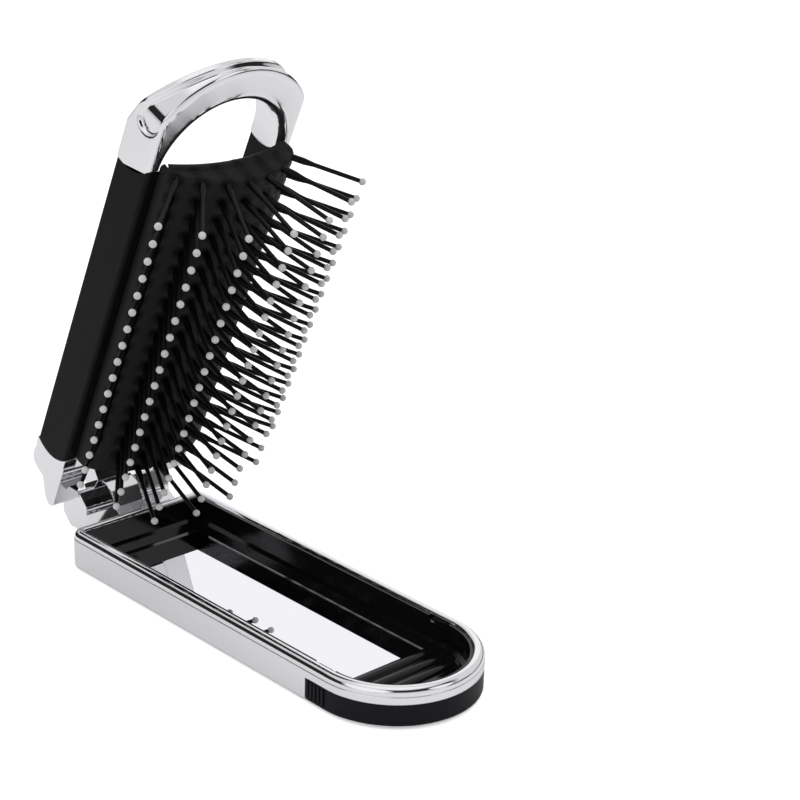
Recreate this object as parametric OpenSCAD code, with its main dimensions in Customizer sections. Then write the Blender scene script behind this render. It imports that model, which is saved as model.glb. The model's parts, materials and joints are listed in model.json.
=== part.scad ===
// Folding hairbrush with a mirror in its case, open for use.
// Millimetres, +Z up. The case lies on its outer face, with its length along X
// and the origin at the middle of that face. The hinge is at -X and the tip at +X.
// The brush half is drawn in its own frame: X runs from the hinge to the loop,
// Y across, and Z from the front face towards the back, so the pins point to -Z.

/* [Case] */
// Length of the mirror case, from the hinge wall to the tip
case_l = 120; // [108:1:135]
// Width of the case
case_w = 42; // [40:0.5:46]
// Height of the case at the crown of the rim
case_h = 10.4; // [10:0.1:12]
// Height of the side wall, up to the rim seam
wall_h = 8.2; // [7.8:0.1:8.4]
// Thickness of the side wall
wall_t = 1.4; // [1.2:0.1:1.5]
// Corner radius at the hinge end
corner_r = 3.4; // [3.3:0.1:5]
// Width of the rounded rim and of the bead round the outer face
rim_w = 3.2; // [3:0.1:3.4]
// Thickness of the polished plate on the outer face
plate_t = 0.6; // [0.4:0.1:0.8]
// Thickness of the case floor
floor_t = 0.8; // [0.6:0.1:1]

/* [Mirror] */
// Width of the mirror
mirror_w = 30; // [26:0.5:31]
// Distance from the hinge wall to the near edge of the mirror
mirror_x = 6.2; // [6:0.1:10]
// Distance from the hinge wall to the straight tip edge of the mirror
mirror_end = 93.4; // [80:0.2:94]
// Thickness of the mirror
mirror_t = 0.6; // [0.5:0.1:0.8]
// Height of the ledge round the mirror, above the liner floor
ledge_h = 2.3; // [1.8:0.1:2.6]
// Width of the sloping bevel from the ledge down to the mirror
bevel_w = 1.1; // [0.8:0.1:1.2]
// Thickness of the liner wall
liner_t = 0.7; // [0.5:0.1:0.9]
// Height of the ribs beyond the mirror, above the liner floor
rib_h = 1; // [0.6:0.1:1.2]
// Radius of each rib
rib_r = 1.8; // [1.4:0.1:1.9]
// Spacing of the ribs
rib_pitch = 3.9; // [3.8:0.1:4.2]
// Number of ribs
rib_n = 3; // [2:1:3]

/* [Latch] */
// Lowest edge of the band that wraps the tip
band_z = 1.05; // [1:0.05:1.4]
// Height of the band
band_h = 5.35; // [5:0.05:5.6]
// Thickness of the band
band_t = 0.9; // [0.6:0.1:1]
// Length of each latch button
button_l = 6.6; // [6:0.1:8]
// Thickness of the plate of the button
button_t = 1.1; // [0.9:0.1:1.2]
// Number of grip ribs on a button
grip_n = 5; // [3:1:6]
// Height of a grip rib
grip_h = 0.25; // [0.15:0.05:0.4]
// Radius of the pivot pin of a button
button_pin_r = 0.4; // [0.3:0.05:0.45]
// Height of that pivot pin
button_pivot_z = 7.3; // [7.2:0.05:7.4]
// Distance from the side of the case in to that pivot pin
button_pivot_in = 1.9; // [1.85:0.05:1.95]
// How far the toe of the catch reaches out from the rail's inner face
catch_reach = 0.9; // [0.7:0.05:1]
// Play between the toe of the catch and the nose of the button
catch_play = 0.2; // [0.1:0.05:0.3]
// Thickness of the nose of the button
nose_t = 0.35; // [0.3:0.05:0.5]
// How far the nose of the button laps over the toe of the catch
catch_lap = 0.3; // [0.2:0.05:0.35]

/* [Hinge] */
// Distance from the hinge wall out to the hinge axis
hinge_out = 8.4; // [7:0.1:9]
// Height of the hinge axis
hinge_z = 10.8; // [10.6:0.1:11.2]
// Width across the flats of the eight-sided barrel
barrel_w = 10.4; // [8:0.2:10.4]
// Length of the barrel
barrel_l = 26.4; // [22:0.2:27]
// Length of the middle knuckle
middle_l = 8.8; // [6:0.2:12]
// Radius of the hinge pin
hinge_pin_r = 1.3; // [1:0.1:1.8]
// Angle between the two halves as drawn
open_angle = 66; // [20:1:120]

/* [Brush frame] */
// Depth of the rails, front to back
rail_d = 12; // [11.8:0.1:13]
// Width of a rail
rail_w = 4; // [3.6:0.1:4.2]
// How much wider the frame's opening is at the back than in front, on each side
rail_draft = 1.4; // [1:0.1:1.6]
// Radius of the rounded edges of a rail
rail_r = 1; // [0.6:0.1:1.1]
// Gap between the rim and the front of the frame when shut
shut_gap = 0.7; // [0.5:0.1:0.9]
// Distance from the hinge axis to the end of the loop
loop_s = 135.1; // [134:0.1:138]
// Radius of the loop's outer edge
arch_r = 25.2; // [24.4:0.1:27]
// Distance from the hinge axis to the centre of the loop's round opening
hole_s = 108.6; // [108:0.1:109]
// Depth of the loop at its far end
loop_d = 4.8; // [4.4:0.1:6]
// Distance from the hinge axis to where the loop starts to get thinner
taper_s = 113; // [112:0.5:116]
// Radius of the loop's front edges
loop_edge = 1.3; // [0.8:0.1:1.6]
// Depth of the groove round the outside of the loop
groove_d = 0.7; // [0.4:0.1:0.8]
// Radius of the round ends of that groove
groove_r = 4.1; // [3.6:0.1:4.2]
// Distance from the hinge axis to the middle of those round ends
groove_s = 119.9; // [119.5:0.1:121]
// Radius of the seam where a rail meets the loop
top_seam_r = 12; // [11.6:0.1:12.4]
// Distance from the hinge axis to the lowest point of that seam
top_seam_s = 106.4; // [106:0.1:106.8]
// Height of that point, behind the front of the frame
top_seam_up = 8.9; // [8:0.1:9.6]
// Radius of the round lower end of a rail
foot_seam_r = 10; // [9.6:0.1:10.4]
// Distance from the hinge axis to the lowest point of that end
foot_seam_s = 16.7; // [16.4:0.1:17]
// Height of that point, behind the front of the frame
foot_seam_up = 7.2; // [6.8:0.1:7.6]
// Width of the collar round that lower end
collar_w = 2.3; // [1.8:0.1:2.6]
// Length of the tenons that join the chrome ends to the rails
tenon_l = 7; // [4:0.5:8]

/* [Bristle pad] */
// Radius of the domed pad, across the brush
pad_r = 28.3; // [27:0.1:32]
// Height of the crown of the pad, in front of the hinge axis
pad_crown = 10.9; // [9:0.1:11.5]
// Thickness of the pad
pad_t = 1.3; // [1:0.1:1.6]
// Angle between neighbouring rows, round the pad
row_step = 12.57; // [11:0.01:12.8]
// Distance from the hinge axis to the last pin
pin_s = 111; // [108:0.1:111.4]
// Spacing of the pins along a row
pin_pitch = 4.978; // [4.5:0.001:5]
// Pins in the middle rows
pin_n = 19; // [8:1:19]
// Length of a pin, from the pad to the middle of its ball
pin_l = 17.4; // [15:0.1:17.8]
// Radius of a pin at its tip
pin_r = 0.5; // [0.4:0.05:0.6]
// Radius of the foot of a pin
foot_r = 1.3; // [0.9:0.05:1.5]
// Radius of a ball tip
ball_r = 0.9; // [0.75:0.05:0.95]
// Lean of the pins towards the hinge
pin_lean = 3.6; // [0:0.1:6]
// Width of the root strip that carries a row
strip_w = 3.4; // [3:0.1:3.6]
// Width of that strip outside the last row's pins
edge_w = 1.1; // [1.05:0.05:1.2]
// Thickness of the bead along the pad's end walls
lip_w = 1.1; // [0.9:0.1:1.3]
// Height of that bead
lip_h = 2.5; // [1.5:0.1:3]
// Height of the lower edge of the end walls at the middle, in front of the hinge axis
lip_t = 3; // [2:0.1:4]

/* [Clearances] */
// Clearance between fixed parts that fit together
fit_gap = 0.1; // [0.05:0.01:0.15]
// Radial clearance of a pivot
pivot_gap = 0.05; // [0.02:0.01:0.08]
// Clearance round moving parts
move_gap = 0.2; // [0.15:0.01:0.3]

/* [Hidden] */
$fn = 64;
ROWS = 7;
MIDDLE = 4;

hub_r = 0.8;
boss_t = 1.2;
skirt_h = 1.4;
skirt_t = 0.8;
half_w = case_w / 2;
tip_x = case_l - half_w;
rim_r = rim_w / 2;
rim_z = case_h - rim_r;
floor_z = plate_t + floor_t;
liner_in = rim_w - 0.35;
cavity_in = liner_in + liner_t;
liner_top = case_h - 0.7;
button_x = tip_x - button_l;
button_top = band_z + band_h - fit_gap;
button_bottom = band_z + 0.45;
front = hinge_z - case_h - shut_gap;
front_z = -front;
back_z = front_z + rail_d;
inner_y = half_w - rail_w;
pad_centre = pad_crown - pad_r;
strip_half = strip_w / 2 / pad_r * 180 / PI;
pad_end = pin_s + foot_r;
pad_start = pin_s - (pin_n - 1) * pin_pitch - foot_r;
edge_half = edge_w / pad_r * 180 / PI;
edge_angle = 3 * row_step + edge_half;
arch_s = loop_s - arch_r;
leg_s = hole_s - tenon_l;
top_seam = [top_seam_s + top_seam_r, front_z + top_seam_up];
foot_seam = [foot_seam_s + foot_seam_r, front_z + foot_seam_up];
tenon_z = front_z + 2;
tenon_lap = 1.5;

// Rows count from -Y to +Y, and offset is -3 to 3.
function offset_of(row) = row - MIDDLE;
function pins_in(row) = pin_n - max(0, abs(offset_of(row)) - 1);
// Outward tilt of a row's pins.
function tilt_of(row) =
    let (k = offset_of(row)) sign(k) * (21 * abs(k) - 1.7 * k * k);
// Half angle of a row's strip on the side that dir says, narrower on the pad's outer edge.
function half_of(row, dir) = offset_of(row) == 3 * dir ? edge_half : strip_half;

module in_case() translate([-case_l / 2, 0, 0]) children();
module in_brush()
    translate([-case_l / 2 - hinge_out, 0, hinge_z]) rotate([0, -open_angle, 0]) children();
module both_sides() for (side = [0, 1]) mirror([0, side, 0]) children();

// Outline of the case, drawn in by an inset all round.
module outline(inset) {
    r = half_w - inset;
    c = max(corner_r - inset, 0.6);
    translate([tip_x, 0]) circle(r);
    translate([inset + c, -r]) square([tip_x - inset - c, 2 * r]);
    translate([inset, c - r]) square([2 * c, 2 * (r - c)]);
    for (y = [c - r, r - c]) translate([inset + c, y]) circle(c);
}

module slab(inset, z0, z1) translate([0, 0, z0]) linear_extrude(z1 - z0) outline(inset);

// A ring round the case: the profile's X is the distance in from the outline, its Y the height.
module ring() {
    both_sides() {
        translate([corner_r, 0, 0]) rotate([90, 0, 90])
            linear_extrude(tip_x - corner_r) turned(half_w) children();
        translate([corner_r, half_w - corner_r, 0]) rotate([0, 0, 90])
            rotate_extrude(angle = 90) turned(corner_r) children();
    }
    translate([tip_x, 0, 0]) rotate([0, 0, -90]) rotate_extrude(angle = 180) turned(half_w) children();
    translate([0, half_w - corner_r, 0]) rotate([90, 0, 0])
        linear_extrude(case_w - 2 * corner_r) children();
}

module turned(r) translate([r, 0]) mirror([1, 0]) children();

// Extrudes a profile drawn in X and Z along Y.
module along_y(y0, y1) translate([0, y1, 0]) rotate([90, 0, 0]) linear_extrude(y1 - y0) children();
// Extrudes a profile drawn in Y and Z along X.
module along_x(x0, x1) translate([x0, 0, 0]) rotate([90, 0, 90]) linear_extrude(x1 - x0) children();

// A cylinder across the brush, at a point given along and behind it.
module across(at, r) translate([at[0], case_w, at[1]]) rotate([90, 0, 0]) cylinder(r = r, h = 2 * case_w);

// A convex outline with rounded corners, from the centres of its corners in anticlockwise order.
module rounded(centres, r) {
    n = len(centres);
    polygon([for (i = [0 : n - 1])
        let (a = centres[i], b = centres[(i + 1) % n], d = (b - a) / norm(b - a), out = r * [d[1], -d[0]])
            each [a + out, b + out]]);
    for (centre = centres) translate(centre) circle(r);
}

// ---------------------------------------------------------------- case

module case_shell() color("silver") in_case() {
    difference() {
        union() {
            ring() intersection() {
                translate([rim_r, rim_r + 0.05]) circle(rim_r);
                square([rim_w, band_z - 0.05]);
            }
            ring() translate([0.2, plate_t + 0.05]) square([wall_t - 0.2, wall_h - plate_t - 0.05]);
            ring() translate([0, band_z + 0.1]) square([wall_t, wall_h - band_z - 0.1]);
            slab(rim_r, plate_t, floor_z);
            both_sides() for (x = [button_x - move_gap - boss_t, tip_x])
                translate([x, half_w - liner_in + fit_gap, plate_t])
                    cube([boss_t, liner_in - fit_gap - wall_t / 2, wall_h - fit_gap - plate_t]);
        }
        band_cut();
        button_cut();
    }
}

// The recess that the band lies in, round the tip.
module band_cut() {
    translate([0, 0, band_z]) linear_extrude(band_h) difference() {
        translate([button_x, -case_w]) square([case_l, 2 * case_w]);
        translate([tip_x, 0]) circle(half_w - band_t - fit_gap);
        translate([0, band_t + fit_gap - half_w]) square([tip_x, 2 * (half_w - band_t - fit_gap)]);
    }
}

// The well behind each button, open to the side below the rim seam.
module button_cut() {
    both_sides() {
        translate([button_x - move_gap, half_w - wall_t - 1.4, band_z])
            cube([button_l + move_gap, wall_t + 2, band_h]);
        translate([button_x - move_gap, half_w - wall_t - 1.4, band_z + 0.4])
            cube([button_l + move_gap, wall_t + 0.7, wall_h]);
        translate([button_x - 1, half_w - button_pivot_in, button_pivot_z]) rotate([0, 90, 0])
            cylinder(r = button_pin_r + pivot_gap, h = button_l + 1.8);
    }
}

module outer_plate() color("gainsboro") in_case() slab(rim_w + fit_gap, 0, plate_t);

module rim_bezel() color("silver") in_case() difference() {
    ring() {
        intersection() {
            union() {
                translate([rim_r, rim_z]) circle(rim_r);
                translate([0.2, wall_h]) square([rim_w, rim_z - wall_h]);
            }
            translate([0, wall_h]) square([liner_in - 0.05, rim_w]);
        }
        translate([wall_t + fit_gap, wall_h - skirt_h]) square([skirt_t, skirt_h + 0.1]);
    }
    both_sides() {
        translate([button_x - move_gap, half_w - rim_w - 1, wall_h - 2 * skirt_h])
            cube([button_l + move_gap, rim_w - 0.05, liner_top + 2 * skirt_h + 0.1 - wall_h]);
        translate([button_x - move_gap - boss_t - fit_gap, half_w - rim_w, wall_h - 2 * skirt_h])
            cube([button_l + move_gap + 2 * (boss_t + fit_gap), rim_w - wall_t, 2 * skirt_h]);
    }
}

module inner_liner() color("black") in_case() {
    floor_top = floor_z + mirror_t;
    difference() {
        intersection() {
            union() {
                slab(liner_in, floor_z, floor_top);
                liner_walls() liner_wall(floor_top + ledge_h);
            }
            slab(liner_in, floor_z, liner_top);
        }
        translate([mirror_x - fit_gap, -mirror_w / 2 - fit_gap, 0])
            cube([mirror_end - mirror_x + 2 * fit_gap, mirror_w + 2 * fit_gap, case_h / 2]);
        both_sides() translate([button_x - move_gap, half_w - cavity_in - 0.2, wall_h - 0.7])
            cube([button_l + move_gap, rim_w, case_h]);
    }
    intersection() {
        slab(cavity_in + bevel_w, floor_z, case_h);
        for (i = [0 : rib_n - 1])
            translate([mirror_end + 0.3 + rib_r + i * rib_pitch, half_w, floor_top + rib_h - rib_r])
                rotate([90, 0, 0]) cylinder(r = rib_r, h = case_w);
    }
}

// Section of the liner's wall: X is the distance in from the case's outline, Y the height.
module liner_wall(ledge_z)
    polygon([[liner_in, floor_z], [liner_in, liner_top], [cavity_in - 0.1, liner_top],
        [cavity_in, ledge_z], [cavity_in + bevel_w, ledge_z - 0.6],
        [cavity_in + 2 * bevel_w, floor_z + mirror_t], [cavity_in + 2 * bevel_w, floor_z]]);

// Carries a wall section along the sides, the hinge end and round the tip.
module liner_walls() {
    both_sides() translate([liner_in, 0, 0]) rotate([90, 0, 90])
        linear_extrude(tip_x - liner_in) turned(half_w) children();
    translate([0, half_w - liner_in, 0]) rotate([90, 0, 0])
        linear_extrude(case_w - 2 * liner_in) children();
    translate([tip_x, 0, 0]) rotate([0, 0, -90]) rotate_extrude(angle = 180) turned(half_w) children();
}

module mirror_glass() color("white") in_case()
    translate([mirror_x, -mirror_w / 2, floor_z]) cube([mirror_end - mirror_x, mirror_w, mirror_t]);

module latch_band() color([0.1, 0.1, 0.1]) in_case()
    translate([tip_x, 0, 0]) rotate([0, 0, -90]) rotate_extrude(angle = 180)
        translate([half_w - band_t, band_z + fit_gap / 2]) square([band_t - 0.05, band_h - fit_gap]);

module case_knuckles() color("silver") in_case() difference() {
    both_sides() along_y(middle_l / 2 + move_gap / 2, barrel_l / 2) {
        barrel_outline();
        polygon([[0, 3.6], [0, wall_h + 0.8], [-hinge_out + 2, hinge_z + 2],
            [-hinge_out, hinge_z], [-hinge_out - 0.6, hinge_z - barrel_w / 2 + 0.2]]);
    }
    translate([-hinge_out, barrel_l / 2 - 1, hinge_z]) rotate([90, 0, 0])
        cylinder(r = hinge_pin_r + pivot_gap, h = barrel_l - 2);
}

module barrel_outline()
    translate([-hinge_out, hinge_z]) rotate(22.5) circle(d = barrel_w / cos(22.5), $fn = 8);

// ---------------------------------------------------------------- latch buttons

module button_pin() color("dimgray") in_case()
    translate([button_x - 0.9, half_w - button_pivot_in, button_pivot_z]) rotate([0, 90, 0])
        cylinder(r = button_pin_r, h = button_l + 1.6);

module button() color([0.12, 0.12, 0.12]) in_case() {
    pivot_y = half_w - button_pivot_in;
    plate_y = half_w - button_t;
    nose_y = inner_y + catch_reach - catch_lap;
    nose_z = liner_top - 0.2;
    x0 = button_x + fit_gap;
    x1 = tip_x - fit_gap;
    difference() {
        union() {
            translate([x0, plate_y, button_bottom])
                cube([x1 - x0, button_t, button_top - button_bottom]);
            for (i = [0 : grip_n - 1])
                translate([x0 + (i + 0.5) * (x1 - x0) / grip_n - 0.35, plate_y, button_bottom + 0.3])
                    cube([0.7, button_t + grip_h, button_top - button_bottom - 0.6]);
            along_x(x0 + 1, x1 - 1) {
                polygon([[plate_y + 0.2, button_bottom + 3], [plate_y + 0.2, button_top],
                    [pivot_y + 0.4, button_pivot_z], [pivot_y + 0.15, nose_z],
                    [nose_y, nose_z], [nose_y, nose_z - nose_t],
                    [pivot_y - 0.6, nose_z - nose_t - 0.1], [pivot_y - 0.6, button_pivot_z]]);
                translate([pivot_y, button_pivot_z]) circle(hub_r);
            }
        }
        translate([x0 - 1, pivot_y, button_pivot_z]) rotate([0, 90, 0])
            cylinder(r = button_pin_r + pivot_gap, h = case_w);
    }
}

// ---------------------------------------------------------------- hinge

module hinge_pin() color("dimgray") in_case()
    translate([-hinge_out, barrel_l / 2 - 1.2, hinge_z]) rotate([90, 0, 0])
        cylinder(r = hinge_pin_r, h = barrel_l - 2.4);

module hinge_bracket() color("silver") in_brush() {
    difference() {
        union() {
            both_sides() {
                along_y(inner_y + 0.2, half_w - 0.3) bracket_side();
                along_y(barrel_l / 2 + 0.6, half_w - 2) intersection() {
                    bracket_side();
                    square([16, 9]);
                }
                collar();
            }
            along_y(-inner_y - 1, inner_y + 1)
                polygon([[5.6, back_z - 4], [15, back_z - 3.4], [14, back_z - 0.6], [5.6, back_z - 0.6]]);
            along_y(-middle_l / 2, middle_l / 2) {
                rotate(22.5) circle(d = barrel_w / cos(22.5), $fn = 8);
                polygon([[-3, 3], [1, back_z - 1.4], [7, back_z - 1.4], [7, back_z - 4], [3.4, 3]]);
            }
        }
        across([0, 0], hinge_pin_r + pivot_gap);
        across(foot_seam, foot_seam_r + fit_gap);
    }
    both_sides() tenon(foot_seam_s - tenon_lap, tenon_l + tenon_lap);
}

// Side of the bracket: the foot of a rail, with a lobe beside the barrel.
module bracket_side()
    polygon([[24, front_z], [24, back_z], [14.6, back_z], [12.8, back_z + 0.4], [11, back_z + 0.3],
        [9.5, back_z - 0.6], [8.7, back_z - 2.8], [8.4, front_z + 6.7], [6.7, front_z + 5.7],
        [5.2, front_z + 4.7], [3.4, front_z + 3.4], [2.6, front_z + 1.8], [3.2, front_z + 0.4],
        [4.2, front_z]]);

// The raised collar round the lower end of a rail.
module collar() along_y(inner_y + 0.2, half_w) intersection() {
    translate(foot_seam) circle(foot_seam_r + collar_w);
    translate([10, front_z]) square([12, rail_d]);
}

// ---------------------------------------------------------------- brush frame

module tenon(s, length)
    translate([s, inner_y + 1.6, tenon_z]) cube([length, rail_w - 2.6, 5]);

module rail() color([0.08, 0.08, 0.08]) in_brush() difference() {
    union() {
        along_x(foot_seam[0], top_seam[0]) rail_section();
        intersection() {
            along_x(foot_seam_s, foot_seam[0]) rail_section();
            across(foot_seam, foot_seam_r);
        }
        catch();
    }
    across(top_seam, top_seam_r + fit_gap);
    socket(foot_seam_s - tenon_lap, tenon_l + tenon_lap);
    socket(top_seam_s + tenon_lap - tenon_l, tenon_l + tenon_lap);
}

module socket(s, length)
    translate([s - fit_gap, inner_y + 1.6 - fit_gap, tenon_z - fit_gap])
        cube([length + 2 * fit_gap, rail_w - 2.6 + 2 * fit_gap, 5 + 2 * fit_gap]);

module rail_section() {
    r = rail_r;
    rounded([[inner_y + r, front_z + r], [half_w - r, front_z + r], [half_w - r, back_z - r],
        [inner_y + rail_draft + r, back_z - r]], r);
}

// The hooked catch in front of a rail, which the button's nose holds when shut.
module catch() {
    s = button_x + hinge_out + 2;
    toe_z = liner_top - 0.2 - nose_t - catch_play - hinge_z;
    along_x(s, s + button_l - 4)
        polygon([[inner_y + 0.05, front_z + 1.5], [inner_y + 0.45, front_z + 1.5],
            [inner_y + 0.45, toe_z], [inner_y + catch_reach, toe_z],
            [inner_y + catch_reach, toe_z - 0.35], [inner_y + 0.45, toe_z - 0.75],
            [inner_y + 0.05, toe_z - 0.75]]);
}

// Outline of the loop in plan, drawn in by an inset.
module loop_outline(inset) intersection() {
    translate([arch_s, 0]) circle(arch_r - inset);
    translate([leg_s, inset - half_w]) square([loop_s - leg_s, case_w - 2 * inset]);
}

module loop_side()
    polygon([[leg_s, front_z], [loop_s, front_z], [loop_s, front_z + loop_d],
        [taper_s, back_z], [leg_s, back_z]]);

// The opening, straight beside the pad and round beyond it, wider at the back.
module loop_hole() {
    translate([hole_s, 0, front_z]) cylinder(r1 = inner_y, r2 = inner_y + rail_draft, h = rail_d);
    along_x(leg_s, hole_s) polygon([[-inner_y, front_z], [inner_y, front_z],
        [inner_y + rail_draft, back_z], [-inner_y - rail_draft, back_z]]);
}

// What is taken off a front edge to round it: the edge is at X = 0, with its side face at -X.
module edge_off() difference() {
    translate([-1, -1]) square([loop_edge + 1, loop_edge + 1]);
    translate([loop_edge, loop_edge]) circle(loop_edge);
}

module top_loop() color("silver") in_brush() {
    difference() {
        intersection() {
            linear_extrude(2 * rail_d, center = true) loop_outline(0);
            along_y(-half_w, half_w) loop_side();
            union() {
                across(top_seam, top_seam_r);
                translate([top_seam[0], -half_w, 0]) cube([case_w, case_w, 2 * rail_d]);
            }
        }
        loop_hole();
        translate([hole_s, 0, front_z]) rotate_extrude() translate([inner_y, 0]) edge_off();
        translate([arch_s, 0, front_z]) rotate_extrude() translate([arch_r, 0]) mirror([1, 0]) edge_off();
        both_sides() {
            along_x(leg_s, hole_s) translate([inner_y, front_z]) edge_off();
            along_x(leg_s, loop_s) translate([half_w, front_z]) mirror([1, 0]) edge_off();
        }
        difference() {
            along_y(-case_w, case_w) groove();
            linear_extrude(4 * rail_d, center = true) loop_outline(groove_d);
        }
    }
    both_sides() tenon(top_seam_s + tenon_lap - tenon_l, tenon_l + tenon_lap);
}

// Groove round the outside of the loop: round in the shoulders, narrow over the end.
module groove() {
    at = [groove_s, front_z + groove_r + 1.2];
    translate(at) circle(groove_r);
    polygon([at - [0, groove_r], [loop_s + 1, front_z + 0.8], [loop_s + 1, front_z + 3],
        [loop_s - 9.5, front_z + 6.6], at + groove_r * [sin(25), cos(25)]]);
}

// ---------------------------------------------------------------- bristle pad

// A slice of the domed pad, between two angles from the middle.
module pad_slice(a0, a1) rotate([180, 0, 0]) along_x(pad_start, pad_end) intersection() {
    translate([0, pad_centre]) difference() {
        circle(pad_r, $fn = 128);
        circle(pad_r - pad_t, $fn = 128);
    }
    translate([0, pad_centre]) polygon([[0, 0], 2 * pad_r * [sin(a0), cos(a0)],
        2 * pad_r * [sin(a1), cos(a1)]]);
}

module at_root(row, i) {
    a = offset_of(row) * row_step;
    translate([pin_s - i * pin_pitch, pad_r * sin(a), -pad_centre - pad_r * cos(a)])
        rotate([tilt_of(row), 0, 0]) rotate([180, pin_lean, 0]) children();
}

module bristle_row(row) color([0.06, 0.06, 0.06]) in_brush() {
    a = offset_of(row) * row_step;
    mirror([0, 1, 0]) pad_slice(a - half_of(row, -1), a + half_of(row, 1));
    for (i = [0 : pins_in(row) - 1]) at_root(row, i) bristle();
}

module bristle() rotate_extrude($fn = 24)
    polygon([[0, -pad_t / 2], [foot_r - 0.3, -pad_t / 2], [foot_r - 0.3, 0.1], [pin_r + 0.15, 1.5],
        [pin_r + 0.1, 3], [pin_r, pin_l - ball_r / 2], [0, pin_l - ball_r / 2]]);

module ball_tips(row) color("lightgray") in_brush()
    for (i = [0 : pins_in(row) - 1]) at_root(row, i) intersection() {
        translate([0, 0, pin_l]) sphere(ball_r, $fn = 24);
        translate([0, 0, pin_l - ball_r / 2 + 1.5 * ball_r]) cube(3 * ball_r, center = true);
    }

module pad_web() color([0.1, 0.1, 0.1]) in_brush() {
    gap = fit_gap / pad_r * 180 / PI;
    for (k = [-3 : 2])
        pad_slice(k * row_step + strip_half + gap, (k + 1) * row_step - strip_half - gap);
    both_sides() difference() {
        rotate([180, 0, 0]) mirror([0, 1, 0]) along_x(pad_start, pad_end) side_lip();
        translate([button_x + hinge_out + 1.7, inner_y - 0.3, -2.9])
            cube([button_l - 3.4, 1.5, 4]);
    }
    end_wall(pad_end + fit_gap);
    translate([pad_start + pad_end, 0, 0]) mirror([1, 0, 0]) end_wall(pad_end + fit_gap);
}

// Section of the pad's side, from its outer rows down to the front of a rail.
module side_lip() {
    a = edge_angle + 0.3;
    inner_r = pad_r - pad_t;
    polygon([[pad_r * sin(a), pad_centre + pad_r * cos(a)],
        [inner_r * sin(a), pad_centre + inner_r * cos(a)],
        [inner_y + 0.3, 2], [inner_y + 0.2, front + fit_gap], [inner_y + 1.3, front + fit_gap],
        [inner_y + 1.6, 2.2]]);
}

// The pad's end wall, with the bead along its lower edge.
module end_wall(s) rotate([180, 0, 0]) {
    bead_r = 50;
    half = inner_y - 0.6;
    along_x(s, s + lip_w) intersection() {
        difference() {
            translate([0, lip_t + lip_h - bead_r]) circle(bead_r, $fn = 128);
            translate([0, lip_t - bead_r]) circle(bead_r, $fn = 128);
        }
        translate([-half, 0]) square([2 * half, pad_crown]);
    }
    along_x(s, s + lip_w - 0.4) intersection() {
        difference() {
            translate([0, pad_centre]) circle(pad_r - pad_t / 2, $fn = 128);
            translate([0, lip_t + lip_h / 2 - bead_r]) circle(bead_r, $fn = 128);
        }
        translate([-half, 0]) square([2 * half, pad_crown]);
    }
}

case_shell();
outer_plate();
rim_bezel();
inner_liner();
mirror_glass();  // mirror
latch_band();
case_knuckles();
mirror([0, 1, 0]) button_pin();  // button_pin_left
button_pin();  // button_pin_right
mirror([0, 1, 0]) button();  // button_left
button();  // button_right
hinge_pin();
hinge_bracket();
mirror([0, 1, 0]) rail();  // rail_left
rail();  // rail_right
top_loop();
pad_web();
for (row = [1 : ROWS]) {
    bristle_row(row);
    ball_tips(row);
}
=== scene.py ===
"""Folding hairbrush with a mirror in its case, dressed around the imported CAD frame."""
import json
import math

import bmesh
import bpy
from mathutils import Matrix, Vector


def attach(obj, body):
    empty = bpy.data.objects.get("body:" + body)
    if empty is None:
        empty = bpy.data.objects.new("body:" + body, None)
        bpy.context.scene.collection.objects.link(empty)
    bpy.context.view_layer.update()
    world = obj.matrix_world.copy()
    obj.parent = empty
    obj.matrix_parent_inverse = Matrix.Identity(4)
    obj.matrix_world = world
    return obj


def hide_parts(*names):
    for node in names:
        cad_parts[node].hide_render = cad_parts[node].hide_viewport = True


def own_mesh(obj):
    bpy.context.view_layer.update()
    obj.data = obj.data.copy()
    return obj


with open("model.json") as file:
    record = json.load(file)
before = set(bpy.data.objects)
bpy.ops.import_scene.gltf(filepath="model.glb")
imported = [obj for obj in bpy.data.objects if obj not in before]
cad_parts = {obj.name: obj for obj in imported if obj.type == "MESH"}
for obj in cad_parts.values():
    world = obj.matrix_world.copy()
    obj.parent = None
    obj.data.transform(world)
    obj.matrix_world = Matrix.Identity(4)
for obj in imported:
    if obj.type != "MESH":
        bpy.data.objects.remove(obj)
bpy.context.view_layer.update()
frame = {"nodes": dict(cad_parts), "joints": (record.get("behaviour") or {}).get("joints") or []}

NODES = frame["nodes"]
JOINTS = {joint["name"]: joint for joint in frame["joints"]}

# ---------------------------------------------------------------- sizes, in millimetres and degrees

MM = 0.001
HINGE = Vector(JOINTS["pad_fold"]["pos_m"])
OPEN_ANGLE = math.radians(-JOINTS["pad_fold"]["range_deg"][0])

# Rows of pins
ROWS = range(1, 8)
MIDDLE_ROW = 4
ROW_STEP = 12.57          # angle between neighbouring rows, round the dome
ROW_TILT = (21.0, 1.7)    # sideways slope of a row's pins: for each row out, less for its square
MOST_PINS = 19
PIN_PITCH = 4.978
LAST_PIN = 111.0          # distance from the hinge axis to the pin nearest the loop
PIN_LENGTH = 17.4
PIN_LEAN = 3.6            # slope of every pin along its row
PIN_RADIUS = 0.55
PIN_FOOT_RADIUS = 0.85
PIN_FOOT_HEIGHT = 1.3
PIN_SINK = 0.65           # how far a pin's foot starts inside the rubber
PIN_RINGS = 8
PIN_SIDES = 8
BALL_RADIUS = 0.9
BALL_SEGMENTS = 12
BALL_RINGS = 7

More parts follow.
